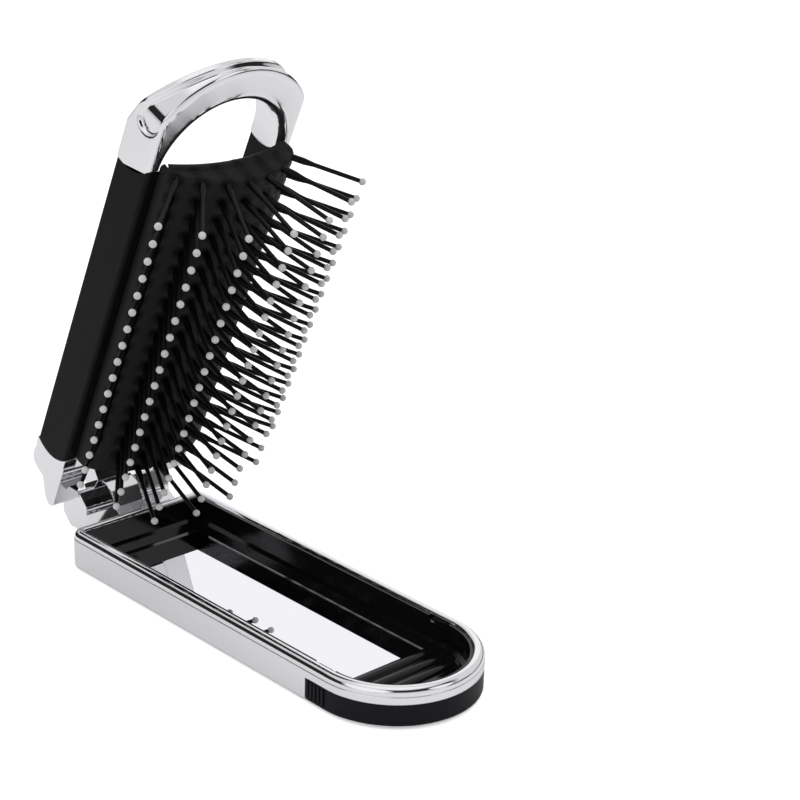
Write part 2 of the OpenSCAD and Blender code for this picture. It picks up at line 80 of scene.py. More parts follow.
# Rubber pad
DOME_RADIUS = 28.3
DOME_CROWN = 10.9
DOME_CENTRE = DOME_CROWN - DOME_RADIUS
DOME_EDGE = 39.94         # angle at which the dome turns down into its side lips
DOME_STEPS = 36
SKIN_THICKNESS = 1.1
PAD_NEAR = 20.1           # ends of the pad, from the hinge axis
PAD_FAR = 112.3
PAD_STEPS = 170
LIP_FOOT = (18.3, -0.2)   # where a side lip meets the rail: across, and out in front
LIP_BULGE = 0.35
LIP_STEPS = 8
END_ROUND = 1.0           # radius between the dome and its end walls
END_ROUND_STEPS = 5
END_WALL_STEPS = 13
END_WALL_SHARE = 0.965    # width of an end wall's foot, as a share of its top
BEAD_ARC = 50.0           # radius of the bead's curve across the end wall
BEAD_LOW = 3.0            # height of the bead's lower edge at the middle
BEAD_WIDTH = 2.5
BEAD_PROUD = 0.4
BEAD_STARTS = (1.5, 4.5)  # wall heights over which the bead grows out of the corner
DIMPLE_RADIUS = 2.35
DIMPLE_DEPTH = 0.3
DIMPLE_EASE = 0.35        # share of a dimple's radius over which it slopes down
DIMPLE_ABOVE = 3.5        # lowest place on the skin that has dimples
PAD_WELD = 0.01

# Chrome loop
HALF_WIDTH = 21.0
LOOP_INNER = 17.0         # half the opening's width, at the front
LOOP_DRAFT = 1.4          # how much further out the opening is at the back
LOOP_CENTRE = 108.6       # centre of the opening's round end
LOOP_TOP = 135.1
ARCH_RADIUS = 25.2
LOOP_FRONT = 0.3          # height of the brush frame's front over the hinge axis, inwards
LOOP_DEEP = 12.0
LOOP_THIN = 4.8           # depth of the loop at its top
TAPER_START = 117.0
LOOP_ROUND = 1.3
LOOP_INNER_ROUND = 2.5
LOOP_BACK_ROUND = 0.5
SHOULDER_SOFT = 0.8
FOOT_SEAM = (118.4, 8.9, 12.0)    # round seam between loop and rail: along, depth, radius
FOOT_LAP = 0.1
LEG_PITCH = 0.24          # distance between a leg's sections
LEG_SECTIONS = 10
ARCH_STEPS = 190
LOOP_WELD = 0.004
GROOVE_END = (121.9, 5.2, 4.5)    # round end of the groove in a shoulder: along, depth, radius
GROOVE_LOW = (0.7, 0.8)           # depths of its front edge, at the shoulder and at the top
GROOVE_HIGH = (9.7, 3.4)          # depths of its back edge, at the shoulder and at the top
GROOVE_SWEEP = 1.3        # how quickly its back edge comes forward
GROOVE_BACK_SLOPE = 0.9
GROOVE_DEPTH = 1.2
GROOVE_WALL = 1.1
GROOVE_REACH = 0.01       # only points this close to the outer side are pushed in

# The brush half's own frame: X from the hinge to the loop, Y across, Z towards the back.
BRUSH = Matrix.Translation(HINGE) @ Matrix.Rotation(-OPEN_ANGLE, 4, "Y")
BRUSH_TURN = BRUSH.to_3x3()


def brush_point(s, y, t):
    """A place on the brush half: s from the hinge axis, y across, t out towards the ball tips."""
    return BRUSH @ Vector((s * MM, y * MM, -t * MM))


def limited(value):
    return min(max(value, 0), 1)


def eased(share):
    """0 to 1 with a soft start and end."""
    return share * share * (3 - 2 * share)


# ---------------------------------------------------------------- materials

CHROME = (0.86, 0.86, 0.885)
MIRROR_SILVER = (0.885, 0.88, 0.925)
STEEL = (0.5, 0.5, 0.52)
GLOSS_BLACK = (0.0035, 0.0035, 0.004)
SOFT_BLACK = (0.006, 0.006, 0.0065)
BAND_BLACK = (0.006, 0.0065, 0.0085)
RUBBER_BLACK = (0.012, 0.012, 0.0125)
# Painted shade: the darker rubber colour put in the dimples round the pins.
DIMPLE_SHADE_BLACK = (0.003, 0.003, 0.003)
PIN_BLACK = (0.003, 0.003, 0.003)
BALL_GREY = (0.6, 0.6, 0.6)
BALL_DARK = (0.50, 0.50, 0.50)
BALL_LIGHT = (0.72, 0.72, 0.72)


def new_material(name, color, roughness, metallic=0.0, specular=0.5):
    """A Principled material with its plain values set on the shader's own sockets."""
    mat = bpy.data.materials.new(name)
    mat.use_nodes = True
    shader = mat.node_tree.nodes["Principled BSDF"]
    shader.inputs["Base Color"].default_value = (*color, 1)
    shader.inputs["Roughness"].default_value = roughness
    shader.inputs["Metallic"].default_value = metallic
    shader.inputs["Specular IOR Level"].default_value = specular
    return mat, mat.node_tree, shader


def object_noise(tree, scale, detail=2.0):
    """Noise on the object's own coordinates, in metres."""
    coords = tree.nodes.new("ShaderNodeTexCoord")
    noise = tree.nodes.new("ShaderNodeTexNoise")
    noise.inputs["Scale"].default_value = scale
    noise.inputs["Detail"].default_value = detail
    tree.links.new(coords.outputs["Object"], noise.inputs["Vector"])
    return noise.outputs["Fac"]


def surface_mark(tree, name):
    """A value that a piece's mesh carries from point to point."""
    mark = tree.nodes.new("ShaderNodeAttribute")
    mark.attribute_name = name
    return mark.outputs["Fac"]


def rough_range(tree, shader, fac, low, high):
    """Roughness that wanders between two values."""
    span = tree.nodes.new("ShaderNodeMapRange")
    span.inputs["To Min"].default_value = low
    span.inputs["To Max"].default_value = high
    tree.links.new(fac, span.inputs["Value"])
    tree.links.new(span.outputs["Result"], shader.inputs["Roughness"])


def add_bump(tree, shader, fac, height):
    """Relief of a height in millimetres."""
    bump = tree.nodes.new("ShaderNodeBump")
    bump.inputs["Distance"].default_value = height * MM
    bump.inputs["Strength"].default_value = 1.0
    tree.links.new(fac, bump.inputs["Height"])
    tree.links.new(bump.outputs["Normal"], shader.inputs["Normal"])
    return bump


def blend_color(tree, shader, fac, color_a, color_b):
    """Base colour that goes from one to another as fac goes from 0 to 1."""
    mix = tree.nodes.new("ShaderNodeMix")
    mix.data_type = "RGBA"
    mix.inputs["A"].default_value = (*color_a, 1)
    mix.inputs["B"].default_value = (*color_b, 1)
    tree.links.new(fac, mix.inputs["Factor"])
    tree.links.new(mix.outputs["Result"], shader.inputs["Base Color"])


def soft_edges(tree, bump, radius):
    """Rounds the look of sharp plated edges a little, so that they catch the light."""
    bevel = tree.nodes.new("ShaderNodeBevel")
    bevel.samples = 6
    bevel.inputs["Radius"].default_value = radius * MM
    tree.links.new(bevel.outputs["Normal"], bump.inputs["Normal"])


def plated_chrome():
    """Chrome plating on a moulding: bright, with the moulding's slight waviness under it."""
    mat, tree, shader = new_material("plated_chrome", CHROME, 0.05, metallic=1.0)
    rough_range(tree, shader, object_noise(tree, scale=90), low=0.03, high=0.07)
    wave = add_bump(tree, shader, object_noise(tree, scale=45, detail=1), height=0.02)
    soft_edges(tree, wave, radius=0.3)
    return mat


def loop_chrome():
    """Chrome whose flat front face is polished less than the rest."""
    mat, tree, shader = new_material("loop_chrome", CHROME, 0.08, metallic=1.0)
    rough_range(tree, shader, surface_mark(tree, "front_face"), low=0.06, high=0.26)
    add_bump(tree, shader, object_noise(tree, scale=45, detail=1), height=0.02)
    return mat


def polished_panel():
    mat, tree, shader = new_material("polished_panel", CHROME, 0.04, metallic=1.0)
    rough_range(tree, shader, object_noise(tree, scale=60), low=0.02, high=0.05)
    return mat


def mirror_glass():
    mat, tree, shader = new_material("mirror_glass", MIRROR_SILVER, 0.01, metallic=1.0)
    rough_range(tree, shader, object_noise(tree, scale=120), low=0.004, high=0.015)
    return mat


def bright_steel():
    mat, tree, shader = new_material("bright_steel", STEEL, 0.25, metallic=1.0)
    rough_range(tree, shader, object_noise(tree, scale=400), low=0.2, high=0.32)
    return mat


def tray_gloss():
    mat, tree, shader = new_material("tray_gloss_black", GLOSS_BLACK, 0.12, specular=0.3)
    rough_range(tree, shader, object_noise(tree, scale=150), low=0.08, high=0.16)
    return mat


def rail_soft_touch():
    """Soft-touch coating with a very fine grain."""
    mat, tree, shader = new_material("rail_soft_touch", SOFT_BLACK, 0.5, specular=0.08)
    rough_range(tree, shader, object_noise(tree, scale=300), low=0.44, high=0.54)
    add_bump(tree, shader, object_noise(tree, scale=2500), height=0.01)
    return mat


def band_satin():
    mat, tree, shader = new_material("band_satin_black", BAND_BLACK, 0.4, specular=0.12)
    rough_range(tree, shader, object_noise(tree, scale=250), low=0.34, high=0.46)
    return mat


def pad_rubber():
    """Soft black rubber, with painted shade that darkens it in the dimples round the pins."""
    mat, tree, shader = new_material("pad_rubber", RUBBER_BLACK, 0.6, specular=0.15)
    # Painted shade: the colour goes darker the deeper a place lies in a dimple.
    blend_color(tree, shader, surface_mark(tree, "dimple"), RUBBER_BLACK, DIMPLE_SHADE_BLACK)
    rough_range(tree, shader, object_noise(tree, scale=200), low=0.52, high=0.66)
    add_bump(tree, shader, object_noise(tree, scale=1500), height=0.012)
    return mat


def pin_nylon():
    mat, tree, shader = new_material("pin_black", PIN_BLACK, 0.3, specular=0.18)
    rough_range(tree, shader, object_noise(tree, scale=500), low=0.24, high=0.36)
    return mat


def ball_resin():
    """Cloudy grey resin dipped on the pins."""
    mat, tree, shader = new_material("ball_grey", BALL_GREY, 0.45, specular=0.4)
    blend_color(tree, shader, object_noise(tree, scale=1400, detail=3), BALL_DARK, BALL_LIGHT)
    rough_range(tree, shader, object_noise(tree, scale=600), low=0.38, high=0.5)
    return mat


def dress(mat, *names):
    """Gives CAD nodes a finish."""
    for name in names:
        mesh = NODES[name].data
        mesh.materials.clear()
        mesh.materials.append(mat)


rubber = pad_rubber()
pin_black = pin_nylon()
ball_grey = ball_resin()
dress(plated_chrome(), "case_shell", "rim_bezel", "case_knuckles", "hinge_bracket", "top_loop")
dress(polished_panel(), "outer_plate")
dress(tray_gloss(), "inner_liner")
dress(mirror_glass(), "mirror")
dress(band_satin(), "latch_band", "button_left", "button_right")
dress(bright_steel(), "button_pin_left", "button_pin_right", "hinge_pin")
dress(rail_soft_touch(), "rail_left", "rail_right")
dress(rubber, "pad_web")
for row in ROWS:
    dress(pin_black, f"bristle_row_{row}")
    dress(ball_grey, f"ball_tips_{row}")

# ---------------------------------------------------------------- helpers for new pieces


def new_object(name, mesh, mat):
    obj = bpy.data.objects.new(name, mesh)
    bpy.context.scene.collection.objects.link(obj)
    mesh.materials.clear()
    mesh.materials.append(mat)
    return obj


def bake_modifiers(obj):
    """Turns what the object's modifiers make into its plain mesh."""
    depsgraph = bpy.context.evaluated_depsgraph_get()
    mesh = bpy.data.meshes.new_from_object(obj.evaluated_get(depsgraph))
    obj.modifiers.clear()
    obj.data = mesh
    return obj


def mesh_of_rings(name, rings, mark_name, weld, tube=False):
    """Joins rings of places on the brush half (s, y, t and a mark) into one smooth skin."""
    build = bmesh.new()
    mark = build.verts.layers.float.new(mark_name)
    grid = []
    for ring in rings:
        line = []
        for s, y, t, value in ring:
            vert = build.verts.new(brush_point(s, y, t))
            vert[mark] = value
            line.append(vert)
        grid.append(line)
    for a, b in zip(grid, grid[1:]):
        for i in range(len(a) if tube else len(a) - 1):
            j = (i + 1) % len(a)
            build.faces.new((a[i], b[i], b[j], a[j])).smooth = True
    if tube:
        for end in (grid[0], grid[-1]):
            build.faces.new(end)
    bmesh.ops.remove_doubles(build, verts=build.verts, dist=weld * MM)
    bmesh.ops.recalc_face_normals(build, faces=build.faces)
    mesh = bpy.data.meshes.new(name)
    build.to_mesh(mesh)
    build.free()
    return mesh


def math_node(tree, operation, first, second):
    node = tree.nodes.new("ShaderNodeMath")
    node.operation = operation
    for socket, value in zip(node.inputs, (first, second)):
        if isinstance(value, (int, float)):
            socket.default_value = value
        else:
            tree.links.new(value, socket)
    return node.outputs[0]


def plus(tree, first, second):
    return math_node(tree, "ADD", first, second)


def minus(tree, first, second):
    return math_node(tree, "SUBTRACT", first, second)


def times(tree, first, second):
    return math_node(tree, "MULTIPLY", first, second)


def larger(tree, first, second):
    return math_node(tree, "MAXIMUM", first, second)


def smaller(tree, first, second):
    return math_node(tree, "MINIMUM", first, second)


# ---------------------------------------------------------------- pins and ball tips

ROW_SIZES = (
    ("Pins", "NodeSocketInt"), ("First", "NodeSocketVector"), ("Step", "NodeSocketVector"),
    ("Turn", "NodeSocketVector"), ("Length", "NodeSocketFloat"), ("Sink", "NodeSocketFloat"),
    ("Pin radius", "NodeSocketFloat"), ("Foot radius", "NodeSocketFloat"),
    ("Foot height", "NodeSocketFloat"), ("Ball radius", "NodeSocketFloat"),
    ("Finish", "NodeSocketMaterial"),
)


def one_pin(tree, sizes):
    """A round pin on Z whose foot flares where it meets the rubber."""
    line = tree.nodes.new("GeometryNodeCurvePrimitiveLine")
    points = tree.nodes.new("GeometryNodeResampleCurve")
    points.inputs["Count"].default_value = PIN_RINGS
    along = tree.nodes.new("GeometryNodeSplineParameter").outputs["Factor"]
    place = tree.nodes.new("GeometryNodeSetPosition")
    spot = tree.nodes.new("ShaderNodeCombineXYZ")
    reach = plus(tree, sizes["Length"], sizes["Sink"])
    crowded = math_node(tree, "POWER", along, 2.0)      # more rings near the foot
    height = minus(tree, times(tree, crowded, reach), sizes["Sink"])
    tree.links.new(height, spot.inputs["Z"])
    tree.links.new(line.outputs["Curve"], points.inputs["Curve"])
    tree.links.new(points.outputs["Curve"], place.inputs["Geometry"])
    tree.links.new(spot.outputs["Vector"], place.inputs["Position"])
    flare = minus(tree, 1.0, math_node(tree, "DIVIDE", height, sizes["Foot height"]))
    flare = smaller(tree, larger(tree, flare, 0.0), 1.0)
    flare = math_node(tree, "POWER", flare, 2.0)
    spread = minus(tree, sizes["Foot radius"], sizes["Pin radius"])
    radius = plus(tree, sizes["Pin radius"], times(tree, flare, spread))
    ring = tree.nodes.new("GeometryNodeCurvePrimitiveCircle")
    ring.inputs["Resolution"].default_value = PIN_SIDES
    ring.inputs["Radius"].default_value = 1.0
    skin = tree.nodes.new("GeometryNodeCurveToMesh")
    skin.inputs["Fill Caps"].default_value = True
    tree.links.new(place.outputs["Geometry"], skin.inputs["Curve"])
    tree.links.new(ring.outputs["Curve"], skin.inputs["Profile Curve"])
    tree.links.new(radius, skin.inputs["Scale"])
    return skin.outputs["Mesh"]


def one_ball(tree, sizes):
    """The round tip at the end of a pin."""
    ball = tree.nodes.new("GeometryNodeMeshUVSphere")
    ball.inputs["Segments"].default_value = BALL_SEGMENTS
    ball.inputs["Rings"].default_value = BALL_RINGS
    tree.links.new(sizes["Ball radius"], ball.inputs["Radius"])
    lift = tree.nodes.new("ShaderNodeCombineXYZ")
    tree.links.new(sizes["Length"], lift.inputs["Z"])
    place = tree.nodes.new("GeometryNodeTransform")
    tree.links.new(ball.outputs["Mesh"], place.inputs["Geometry"])
    tree.links.new(lift.outputs["Vector"], place.inputs["Translation"])
    return place.outputs["Geometry"]


def row_tree(name, one_piece):
    """Repeats a piece along a straight row, all turned the same way."""
    tree = bpy.data.node_groups.new(name, "GeometryNodeTree")
    for label, kind in ROW_SIZES:
        tree.interface.new_socket(label, in_out="INPUT", socket_type=kind)
    tree.interface.new_socket("Row", in_out="OUTPUT", socket_type="NodeSocketGeometry")
    sizes = tree.nodes.new("NodeGroupInput").outputs
    row = tree.nodes.new("GeometryNodeMeshLine")
    row.mode = "OFFSET"
    turn = tree.nodes.new("FunctionNodeEulerToRotation")
    repeat = tree.nodes.new("GeometryNodeInstanceOnPoints")
    real = tree.nodes.new("GeometryNodeRealizeInstances")
    smooth = tree.nodes.new("GeometryNodeSetShadeSmooth")
    finish = tree.nodes.new("GeometryNodeSetMaterial")
    out = tree.nodes.new("NodeGroupOutput")
    links = (
        (sizes["Pins"], row.inputs["Count"]),
        (sizes["First"], row.inputs["Start Location"]),
        (sizes["Step"], row.inputs["Offset"]),
        (row.outputs["Mesh"], repeat.inputs["Points"]),
        (one_piece(tree, sizes), repeat.inputs["Instance"]),
        (sizes["Turn"], turn.inputs["Euler"]),
        (turn.outputs["Rotation"], repeat.inputs["Rotation"]),
        (repeat.outputs["Instances"], real.inputs["Geometry"]),
        (real.outputs["Geometry"], smooth.inputs["Geometry"]),
        (smooth.outputs["Geometry"], finish.inputs["Geometry"]),
        (sizes["Finish"], finish.inputs["Material"]),
        (finish.outputs["Geometry"], out.inputs["Row"]),
    )
    for start, end in links:
        tree.links.new(start, end)
    return tree


def rows_out(row):
    """How many rows a row is from the middle one, less than 0 on the left."""
    return row - MIDDLE_ROW


def pins_in(row):
    return MOST_PINS - max(0, abs(rows_out(row)) - 1)


def row_angle(row):
    """A row's place round the dome, in radians from its middle."""
    return math.radians(ROW_STEP * rows_out(row))


def dome_place(angle):
    """Across and out on the dome, at an angle from its middle."""
    return DOME_RADIUS * math.sin(angle), DOME_CENTRE + DOME_RADIUS * math.cos(angle)


def row_values(row, mat):
    """What the row tree's inputs are for one row, in metres and radians."""
    out = abs(rows_out(row))
    slope = math.copysign(ROW_TILT[0] * out - ROW_TILT[1] * out * out, rows_out(row))
    tilt = Matrix.Rotation(math.radians(slope), 3, "X")
    lean = Matrix.Rotation(math.radians(PIN_LEAN), 3, "Y")
    outwards = Matrix.Rotation(math.pi, 3, "X")
    return {
        "Pins": pins_in(row),
        "First": brush_point(LAST_PIN, *dome_place(row_angle(row))),
        "Step": BRUSH_TURN @ Vector((-PIN_PITCH * MM, 0, 0)),
        "Turn": Vector((BRUSH_TURN @ tilt @ lean @ outwards).to_euler()),
        "Length": PIN_LENGTH * MM,
        "Sink": PIN_SINK * MM,
        "Pin radius": PIN_RADIUS * MM,
        "Foot radius": PIN_FOOT_RADIUS * MM,
        "Foot height": PIN_FOOT_HEIGHT * MM,
        "Ball radius": BALL_RADIUS * MM,
        "Finish": mat,
    }


def grow_row(name, tree, row, mat):
    """Runs the tree for one row and keeps the plain mesh that it makes."""
    obj = new_object(name, bpy.data.meshes.new(name), mat)
    grow = obj.modifiers.new("row", "NODES")
    grow.node_group = tree
    values = row_values(row, mat)
    for socket in tree.interface.items_tree:
        if socket.in_out == "INPUT":
            grow[socket.identifier] = values[socket.name]
    return bake_modifiers(obj)


pin_tree = row_tree("row_of_pins", one_pin)
ball_tree = row_tree("row_of_balls", one_ball)
for row in ROWS:
    for name, tree, mat, node in (("pins", pin_tree, pin_black, f"bristle_row_{row}"),
                                  ("balls", ball_tree, ball_grey, f"ball_tips_{row}")):
        piece = grow_row(f"{name}_{row}", tree, row, mat)
        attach(piece, f"row_{row}")
        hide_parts(node)

# ---------------------------------------------------------------- the rubber pad


def pad_section():
    """Section across the pad, from one side lip over the dome to the other: across, out."""
    edge = math.radians(DOME_EDGE)
    foot, shoulder = Vector(LIP_FOOT), Vector(dome_place(edge))
    half = []
    for i in range(LIP_STEPS):
        share = i / LIP_STEPS
        bulge = LIP_BULGE * math.sin(math.pi * share)
        half.append(foot.lerp(shoulder, share) + Vector((bulge, 0)))
    half += [Vector(dome_place(edge * (1 - i / DOME_STEPS))) for i in range(DOME_STEPS + 1)]
    return [Vector((-p.x, p.y)) for p in half] + half[-2::-1]


def section_normals(section):
    """Outward directions along the section."""
    out = []
    for i in range(len(section)):
        a, b = section[max(i - 1, 0)], section[min(i + 1, len(section) - 1)]
        along = (b - a).normalized()
        out.append(Vector((-along.y, along.x)))
    return out


def dimple_at(s, y):
    """How deep in a pin's dimple a place on the dome is, from 0 to 1."""
    deepest = 0.0
    for row in ROWS:
        angle = row_angle(row)
        across = y - dome_place(angle)[0]
        if abs(across) > DIMPLE_RADIUS:
            continue
        across /= math.cos(angle)
        pin = min(max(round((LAST_PIN - s) / PIN_PITCH), 0), pins_in(row) - 1)
        gap = math.hypot(s - (LAST_PIN - pin * PIN_PITCH), across) / DIMPLE_RADIUS
        deepest = max(deepest, eased(limited((1 - gap) / DIMPLE_EASE)))
    return deepest


def bead_at(up, wall):
    """How proud the bead is, at a height up an end wall that is so high there."""
    if up >= BEAD_WIDTH:
        return 0.0
    start, end = BEAD_STARTS
    grown = limited((wall - start) / (end - start))
    return BEAD_PROUD * grown * math.sin(math.pi * up / BEAD_WIDTH) ** 0.5


def end_wall_foot(p):
    """Place at the foot of an end wall that belongs to a place at its top."""
    y = p.x * END_WALL_SHARE
    drop = BEAD_ARC - math.sqrt(BEAD_ARC ** 2 - y * y)
    return Vector((y, min(BEAD_LOW - drop, p.y)))


def end_wall_feet(top):
    """Lower edge of the end wall, which runs out to nothing in the side lips."""
    low = [end_wall_foot(p) for p in top]
    for i in range(LIP_STEPS):
        share = (i / LIP_STEPS) ** 2
        for j, corner in ((i, LIP_STEPS), (-1 - i, -1 - LIP_STEPS)):
            low[j] = top[j].lerp(low[corner], share)
    return low


def pad_rings():
    """Rings of points from the foot of one end wall over the dome to the foot of the other."""
    section = pad_section()
    normals = section_normals(section)

    def inset(depth):
        return [p - n * depth for p, n in zip(section, normals)]

    def level(s, points):
        return [(s, p) for p in points]

    def end_rings(sign, s_end):
        """An end wall's rings, from its foot up and round onto the dome."""
        top = inset(END_ROUND)
        bottom = end_wall_feet(top)
        rings = []
        for i in range(END_WALL_STEPS + 1):
            ring = []
            for high, low in zip(top, bottom):
                p = low.lerp(high, i / END_WALL_STEPS)
                proud = bead_at((p - low).length, (high - low).length)
                ring.append((s_end + sign * proud, p))
            rings.append(ring)
        for i in range(1, END_ROUND_STEPS + 1):
            turn = math.pi / 2 * i / END_ROUND_STEPS
            back = END_ROUND * (1 - math.cos(turn))
            rings.append(level(s_end - sign * back, inset(END_ROUND * (1 - math.sin(turn)))))
        return rings

    first, last = PAD_NEAR + END_ROUND, PAD_FAR - END_ROUND
    dome = [level(first + (last - first) * i / PAD_STEPS, section) for i in range(1, PAD_STEPS)]
    return end_rings(-1, PAD_NEAR) + dome + end_rings(1, PAD_FAR)[::-1]


def dimpled(s, p):
    """A place on the pad, pushed in where it is in a dimple, and how deep it is there."""
    deep = dimple_at(s, p.x) if p.y > DIMPLE_ABOVE else 0.0
    out = Vector((p.x, p.y - DOME_CENTRE)).normalized()
    place = p - out * DIMPLE_DEPTH * deep
    return s, place.x, place.y, deep


def pad_skin(mat):
    """One moulding of rubber with a shallow dimple round each pin."""
    rings = [[dimpled(s, p) for s, p in ring] for ring in pad_rings()]
    obj = new_object("pad_skin", mesh_of_rings("pad_skin", rings, "dimple", PAD_WELD), mat)
    wall = obj.modifiers.new("wall", "SOLIDIFY")
    wall.thickness = SKIN_THICKNESS * MM
    wall.offset = -1
    return bake_modifiers(obj)


pad = pad_skin(rubber)
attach(pad, "brush_frame")
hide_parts("pad_web")
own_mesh(pad)

# ---------------------------------------------------------------- the chrome loop


def foot_seam_at(depth):
    """Where the seam with the rail is, at a depth behind the front face."""
    s, middle, radius = FOOT_SEAM
    return s - math.sqrt(radius ** 2 - (depth - middle) ** 2)


def loop_depth(s):
    """Depth of the loop, which thins from the taper's start to its top."""
    slope = (LOOP_DEEP - LOOP_THIN) / (LOOP_TOP - TAPER_START)
    return LOOP_DEEP - max(0, s - TAPER_START) * slope


def outer_reach(angle):
    """Distance from the opening's centre to the loop's outline, with eased shoulder corners."""
    off = LOOP_TOP - ARCH_RADIUS - LOOP_CENTRE
    arch = off * math.cos(angle) + math.sqrt(ARCH_RADIUS ** 2 - (off * math.sin(angle)) ** 2)
    side = HALF_WIDTH / max(abs(math.sin(angle)), 0.3)      # kept finite over the top
    blend = max(SHOULDER_SOFT - abs(arch - side), 0)
    return min(arch, side) - blend * blend / (4 * SHOULDER_SOFT)


def groove_at(s, depth):
    """How far the groove is cut in, at a place on the loop's outer side."""
    end_s, end_depth, radius = GROOVE_END
    inside = radius - math.hypot(s - end_s, depth - end_depth)
    if s > end_s:
        share = min((s - end_s) / (LOOP_TOP - end_s), 1)
        low = GROOVE_LOW[0] + (GROOVE_LOW[1] - GROOVE_LOW[0]) * share
        sweep = (1 - share) ** GROOVE_SWEEP
        high = GROOVE_HIGH[1] + (GROOVE_HIGH[0] - GROOVE_HIGH[1]) * sweep
        inside = min(depth - low, (high - depth) * GROOVE_BACK_SLOPE)
    return GROOVE_DEPTH * eased(limited(inside / GROOVE_WALL))


def loop_section(width, inner_depth, outer_depth):
    """Points round the loop's section: across from the opening, depth, and 1 on the front face."""
    outer, inner, back = LOOP_ROUND, LOOP_INNER_ROUND, LOOP_BACK_ROUND
    points = []

    def arc(w, depth, radius, start, steps):
        for i in range(steps + 1):
            turn = math.radians(start + 90 * i / steps)
            points.append((w - radius * math.cos(turn), depth - radius * math.sin(turn), 0))

    def line(w0, depth0, w1, depth1, steps, front=0):
        for i in range(1, steps):
            share = i / steps
            points.append((w0 + (w1 - w0) * share, depth0 + (depth1 - depth0) * share, front))

    line(0, inner_depth - back, 0, inner, steps=12)
    arc(inner, inner, inner, start=0, steps=10)
    line(inner, 0, width - outer, 0, steps=6, front=1)
    arc(width - outer, outer, outer, start=90, steps=6)
    line(width, outer, width, outer_depth - back, steps=44)
    arc(width - back, outer_depth - back, back, start=180, steps=4)
    line(width - back, outer_depth, back, inner_depth, steps=5)
    arc(back, inner_depth - back, back, start=270, steps=4)
    return points


def loop_ring(angle, start_s=LOOP_CENTRE):
    """A section of the loop, as rays from a place on its middle line cut it at an angle."""
    reach = outer_reach(angle)
    away = Vector((math.cos(angle), math.sin(angle)))
    start = Vector((start_s, 0))
    width = reach - LOOP_INNER
    inner_s, outer_s = ((start + away * r).x for r in (LOOP_INNER, reach))
    ring = []
    for w, depth, front in loop_section(width, loop_depth(inner_s), loop_depth(outer_s)):
        draft = LOOP_DRAFT * depth / LOOP_DEEP * (1 - w / width)
        place = start + away * (LOOP_INNER + w + draft)
        if w > width - GROOVE_REACH:
            place -= away * groove_at(place.x, depth)
        ring.append((max(place.x, foot_seam_at(depth)), place.y, -LOOP_FRONT - depth, front))
    return ring


def loop_shell(mat):
    """The loop in one piece, from the foot of one leg over the arch to the foot of the other."""
    quarter = math.pi / 2
    foot = foot_seam_at(FOOT_SEAM[1]) - FOOT_LAP
    legs = [foot + LEG_PITCH * i for i in range(LEG_SECTIONS)]
    rings = [loop_ring(-quarter, s) for s in legs]
    rings += [loop_ring(-quarter + math.pi * i / ARCH_STEPS) for i in range(ARCH_STEPS + 1)]
    rings += [loop_ring(quarter, s) for s in reversed(legs)]
    mesh = mesh_of_rings("loop_shell", rings, "front_face", LOOP_WELD, tube=True)
    return new_object("loop_shell", mesh, mat)


loop = loop_shell(loop_chrome())
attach(loop, "brush_frame")
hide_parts("top_loop")

# ---------------------------------------------------------------- floor and lamps, in metres

FLOOR_SIZE = 8.0
FLOOR_HEIGHT = -0.00005
FLOOR_WHITE = (0.9, 0.9, 0.9)
FLOOR_GLOW = 0.5
# Lamps: name, place, what it points at, size, power.
LAMPS = (
    ("top_softbox", (0.0, 0.0, 0.75), (0.0, 0.0, 0.0), (1.6, 1.6), 5.0),
    ("left_softbox", (-0.25, -0.42, 0.70), (0.0, 0.0, 0.04), (0.32, 0.22), 0.7),
)


def floor_material():
    """White to the eye, with the object's soft shadow kept."""
    mat, tree, shader = new_material("studio_floor", FLOOR_WHITE, 0.9, specular=0.1)
    glow = tree.nodes.new("ShaderNodeEmission")
    path = tree.nodes.new("ShaderNodeLightPath")
    both = tree.nodes.new("ShaderNodeAddShader")
    tree.links.new(times(tree, path.outputs["Is Camera Ray"], FLOOR_GLOW), glow.inputs["Strength"])
    tree.links.new(shader.outputs[0], both.inputs[0])
    tree.links.new(glow.outputs[0], both.inputs[1])
    tree.links.new(both.outputs[0], tree.nodes["Material Output"].inputs["Surface"])
    return mat


def lay_floor():
    half = FLOOR_SIZE / 2
    corners = [(x, y, FLOOR_HEIGHT) for x, y in ((-half, -half), (half, -half), (half, half),
                                                 (-half, half))]
    mesh = bpy.data.meshes.new("floor")
    mesh.from_pydata(corners, [], [(0, 1, 2, 3)])
    new_object("floor", mesh, floor_material())


def hang_lamp(name, place, target, size, power):
    """A soft lamp that lights the object but doesn't show in its gloss."""
    lamp = bpy.data.lights.new(name, "AREA")
    lamp.shape = "RECTANGLE"
    lamp.size, lamp.size_y = size
    lamp.energy = power
    obj = bpy.data.objects.new(name, lamp)
    obj.visible_glossy = False
    bpy.context.scene.collection.objects.link(obj)
    look = (Vector(target) - Vector(place)).to_track_quat("-Z", "Y").to_matrix().to_4x4()
    obj.matrix_world = Matrix.Translation(place) @ look


lay_floor()
for lamp in LAMPS:
    hang_lamp(*lamp)

# ---------------------------------------------------------------- the studio round the object

# Heights are sines of elevation, and pairs are the two edges of a soft change.
AMBIENT = 0.5                  # light from the world on matt faces
DARK = 0.02
GAP = 0.10                     # height of the dark gap along the table
GAP_RISE = 0.52                # how much higher the gap is on the camera's left
GAP_SOFT = 0.06
GAP_SIDE = (-0.72, -0.69, 0)   # direction in which the gap is highest
GAP_SIDE_EDGES = (0.1, 0.9)
GAP_ENDS = (0.35, 0.60)        # the gap closes over these, towards the tip
GAP_FAR = (0.30, 0.55)         # and opens again over these, with more height
GAP_FAR_RISE = 0.10
BAND_LOW = (0.30, 0.38)        # heights between which the dark band on the tip's side begins
BAND_HIGH = (0.78, 0.90)       # and ends
BAND_SIDE = (0.12, 0.32)
BAND_ENDS = (0.50, 0.70)
WALL = 0.72                    # brightness of the tent's walls
ROOF = (0.88, 0.96)
